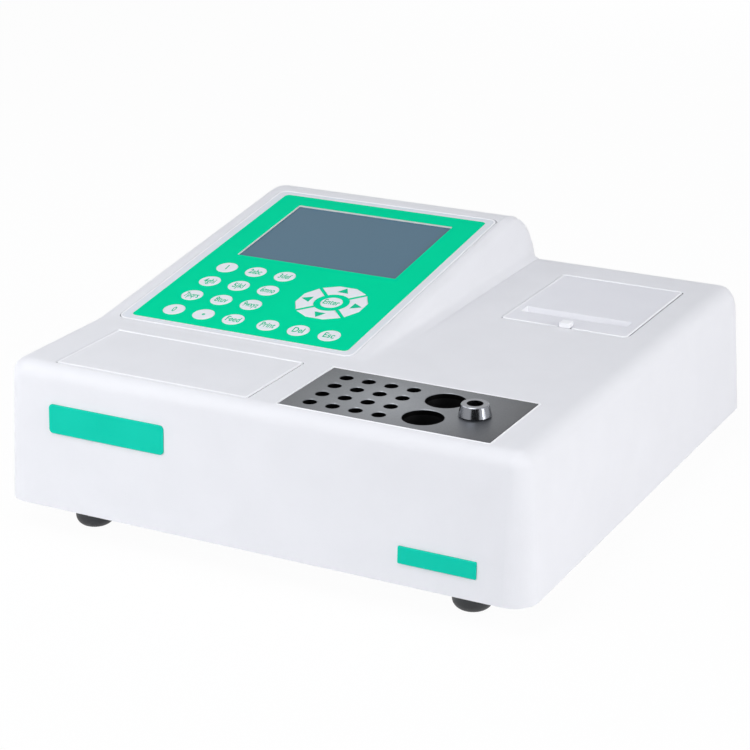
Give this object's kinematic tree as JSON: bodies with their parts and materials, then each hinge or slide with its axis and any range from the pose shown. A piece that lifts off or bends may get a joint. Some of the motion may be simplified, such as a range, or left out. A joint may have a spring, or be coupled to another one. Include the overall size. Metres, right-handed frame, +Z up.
{
  "type": "coagulation analyzer",
  "caption": "Benchtop blood coagulation analyzer with a sloping control desk, a heated block of wells, a measuring channel and a built-in strip printer.",
  "frame": {"origin": "on the bench, under the middle of the casing", "axes": "+X to the right seen from the front, +Y to the back, +Z up"},
  "size_m": [0.3314, 0.3396, 0.1331],
  "materials": {
    "housing_plastic": "fine-textured off-white moulded plastic",
    "frame_plastic": "smooth pale grey moulded plastic",
    "key_plastic": "smooth pale grey key caps",
    "green_film": "printed green film, satin",
    "badge_plastic": "glossy green plate",
    "clear_pane": "clear pane over the display",
    "display_grey": "slate grey display, switched off",
    "incubator_coating": "dark grey coated aluminium",
    "block_aluminium": "milled aluminium",
    "sheet_aluminium": "brushed aluminium sheet",
    "sheet_steel": "zinc-plated steel sheet",
    "screw_steel": "plated steel",
    "turned_steel": "turned bright steel",
    "heater_rubber": "silicone heater pad",
    "foot_rubber": "black rubber",
    "black_plastic": "black moulded plastic",
    "circuit_board": "green circuit board with dark packages",
    "thermal_paper": "white thermal paper"
  },
  "bodies": {
    "casing": {"badge_left": "badge_plastic", "badge_right": "badge_plastic", "base_plate": "sheet_steel", "blank_plate": "housing_plastic", "control_frame": "frame_plastic", "display_window": "clear_pane", "fan_frame": "black_plastic", "foot_front_left": "foot_rubber", "foot_front_right": "foot_rubber", "foot_rear_left": "foot_rubber", "foot_rear_right": "foot_rubber", "heater_pad": "heater_rubber", "heating_block": "block_aluminium", "incubator_plate": "incubator_coating", "keypad_board": "circuit_board", "lcd_module": "display_grey", "lid_hinge_pin": "screw_steel", "main_board": "circuit_board", "measuring_collar": "turned_steel", "membrane_overlay": "green_film", "optical_detector": "black_plastic", "power_inlet": "black_plastic", "power_supply": "circuit_board", "print_head": "block_aluminium", "printer_tub": "black_plastic", "rear_panel": "sheet_aluminium", "screws": "screw_steel", "serial_port": "sheet_steel", "stirrer_motor": "sheet_steel", "temperature_sensor": "screw_steel", "upper_housing": "housing_plastic"},
    "key_0": {"key_0": "key_plastic"},
    "key_1": {"key_1": "key_plastic"},
    "key_2": {"key_2": "key_plastic"},
    "key_3": {"key_3": "key_plastic"},
    "key_4": {"key_4": "key_plastic"},
    "key_5": {"key_5": "key_plastic"},
    "key_6": {"key_6": "key_plastic"},
    "key_7": {"key_7": "key_plastic"},
    "key_8": {"key_8": "key_plastic"},
    "key_9": {"key_9": "key_plastic"},
    "key_delete": {"key_delete": "key_plastic"},
    "key_dot": {"key_dot": "key_plastic"},
    "key_down": {"key_down": "key_plastic"},
    "key_enter": {"key_enter": "key_plastic"},
    "key_escape": {"key_escape": "key_plastic"},
    "key_feed": {"key_feed": "key_plastic"},
    "key_left": {"key_left": "key_plastic"},
    "key_print": {"key_print": "key_plastic"},
    "key_right": {"key_right": "key_plastic"},
    "key_up": {"key_up": "key_plastic"},
    "lid": {"printer_lid": "housing_plastic"},
    "latch": {"lid_latch": "housing_plastic"},
    "roll": {"paper_roll": "thermal_paper", "paper_spindle": "black_plastic"},
    "platen": {"platen_roller": "foot_rubber"},
    "fan": {"fan_rotor": "black_plastic"},
    "rocker": {"power_switch": "black_plastic"},
    "fuses": {"fuse_drawer": "black_plastic"},
    "stirrer": {"stirrer_magnet": "turned_steel"}
  },
  "joints": [
    {"name": "key_0_press", "type": "slide", "parent": "casing", "child": "key_0", "axis": [0, 0.1459, -0.9893], "range_m": [0, 0.0004], "stiffness_N_per_m": 1250, "springref_m": -0.0002},
    {"name": "key_1_press", "type": "slide", "parent": "casing", "child": "key_1", "axis": [0, 0.1459, -0.9893], "range_m": [0, 0.0004], "stiffness_N_per_m": 1250, "springref_m": -0.0002},
    {"name": "key_2_press", "type": "slide", "parent": "casing", "child": "key_2", "axis": [0, 0.1459, -0.9893], "range_m": [0, 0.0004], "stiffness_N_per_m": 1250, "springref_m": -0.0002},
    {"name": "key_3_press", "type": "slide", "parent": "casing", "child": "key_3", "axis": [0, 0.1459, -0.9893], "range_m": [0, 0.0004], "stiffness_N_per_m": 1250, "springref_m": -0.0002},
    {"name": "key_4_press", "type": "slide", "parent": "casing", "child": "key_4", "axis": [0, 0.1459, -0.9893], "range_m": [0, 0.0004], "stiffness_N_per_m": 1250, "springref_m": -0.0002},
    {"name": "key_5_press", "type": "slide", "parent": "casing", "child": "key_5", "axis": [0, 0.1459, -0.9893], "range_m": [0, 0.0004], "stiffness_N_per_m": 1250, "springref_m": -0.0002},
    {"name": "key_6_press", "type": "slide", "parent": "casing", "child": "key_6", "axis": [0, 0.1459, -0.9893], "range_m": [0, 0.0004], "stiffness_N_per_m": 1250, "springref_m": -0.0002},
    {"name": "key_7_press", "type": "slide", "parent": "casing", "child": "key_7", "axis": [0, 0.1459, -0.9893], "range_m": [0, 0.0004], "stiffness_N_per_m": 1250, "springref_m": -0.0002},
    {"name": "key_8_press", "type": "slide", "parent": "casing", "child": "key_8", "axis": [0, 0.1459, -0.9893], "range_m": [0, 0.0004], "stiffness_N_per_m": 1250, "springref_m": -0.0002},
    {"name": "key_9_press", "type": "slide", "parent": "casing", "child": "key_9", "axis": [0, 0.1459, -0.9893], "range_m": [0, 0.0004], "stiffness_N_per_m": 1250, "springref_m": -0.0002},
    {"name": "key_delete_press", "type": "slide", "parent": "casing", "child": "key_delete", "axis": [0, 0.1459, -0.9893], "range_m": [0, 0.0004], "stiffness_N_per_m": 1250, "springref_m": -0.0002},
    {"name": "key_dot_press", "type": "slide", "parent": "casing", "child": "key_dot", "axis": [0, 0.1459, -0.9893], "range_m": [0, 0.0004], "stiffness_N_per_m": 1250, "springref_m": -0.0002},
    {"name": "key_down_press", "type": "slide", "parent": "casing", "child": "key_down", "axis": [0, 0.1459, -0.9893], "range_m": [0, 0.0004], "stiffness_N_per_m": 1250, "springref_m": -0.0002},
    {"name": "key_enter_press", "type": "slide", "parent": "casing", "child": "key_enter", "axis": [0, 0.1459, -0.9893], "range_m": [0, 0.0004], "stiffness_N_per_m": 1250, "springref_m": -0.0002},
    {"name": "key_escape_press", "type": "slide", "parent": "casing", "child": "key_escape", "axis": [0, 0.1459, -0.9893], "range_m": [0, 0.0004], "stiffness_N_per_m": 1250, "springref_m": -0.0002},
    {"name": "key_feed_press", "type": "slide", "parent": "casing", "child": "key_feed", "axis": [0, 0.1459, -0.9893], "range_m": [0, 0.0004], "stiffness_N_per_m": 1250, "springref_m": -0.0002},
    {"name": "key_left_press", "type": "slide", "parent": "casing", "child": "key_left", "axis": [0, 0.1459, -0.9893], "range_m": [0, 0.0004], "stiffness_N_per_m": 1250, "springref_m": -0.0002},
    {"name": "key_print_press", "type": "slide", "parent": "casing", "child": "key_print", "axis": [0, 0.1459, -0.9893], "range_m": [0, 0.0004], "stiffness_N_per_m": 1250, "springref_m": -0.0002},
    {"name": "key_right_press", "type": "slide", "parent": "casing", "child": "key_right", "axis": [0, 0.1459, -0.9893], "range_m": [0, 0.0004], "stiffness_N_per_m": 1250, "springref_m": -0.0002},
    {"name": "key_up_press", "type": "slide", "parent": "casing", "child": "key_up", "axis": [0, 0.1459, -0.9893], "range_m": [0, 0.0004], "stiffness_N_per_m": 1250, "springref_m": -0.0002},
    {"name": "lid_hinge", "type": "hinge", "parent": "casing", "child": "lid", "pos_m": [0.0984, 0.1156, 0.0995], "axis": [-1, 0, 0], "range_deg": [0, 75]},
    {"name": "latch_slide", "type": "slide", "parent": "lid", "child": "latch", "axis": [0, 1, 0], "range_m": [0, 0.0015], "stiffness_N_per_m": 400, "springref_m": -0.0005},
    {"name": "roll_spin", "type": "hinge", "parent": "casing", "child": "roll", "pos_m": [0.0984, 0.09, 0.0745], "axis": [1, 0, 0], "continuous": true},
    {"name": "platen_spin", "type": "hinge", "parent": "casing", "child": "platen", "pos_m": [0.0984, 0.053, 0.0845], "axis": [1, 0, 0], "continuous": true},
    {"name": "fan_spin", "type": "hinge", "parent": "casing", "child": "fan", "pos_m": [0.02, 0.16325, 0.05271], "axis": [0, 0.9986, 0.0529], "continuous": true},
    {"name": "rocker_tilt", "type": "hinge", "parent": "casing", "child": "rocker", "pos_m": [-0.067, 0.16325, 0.05271], "axis": [1, 0, 0], "range_deg": [0, 16]},
    {"name": "fuse_drawer_slide", "type": "slide", "parent": "casing", "child": "fuses", "axis": [0, 0.9986, 0.0529], "range_m": [0, 0.02]},
    {"name": "stirrer_spin", "type": "hinge", "parent": "casing", "child": "stirrer", "pos_m": [0.11327, -0.12443, 0.057], "axis": [0, 0, 1], "continuous": true}
  ],
  "couplings": [
    {"joint": "platen_spin", "follows": "roll_spin", "ratio": 4}
  ]
}
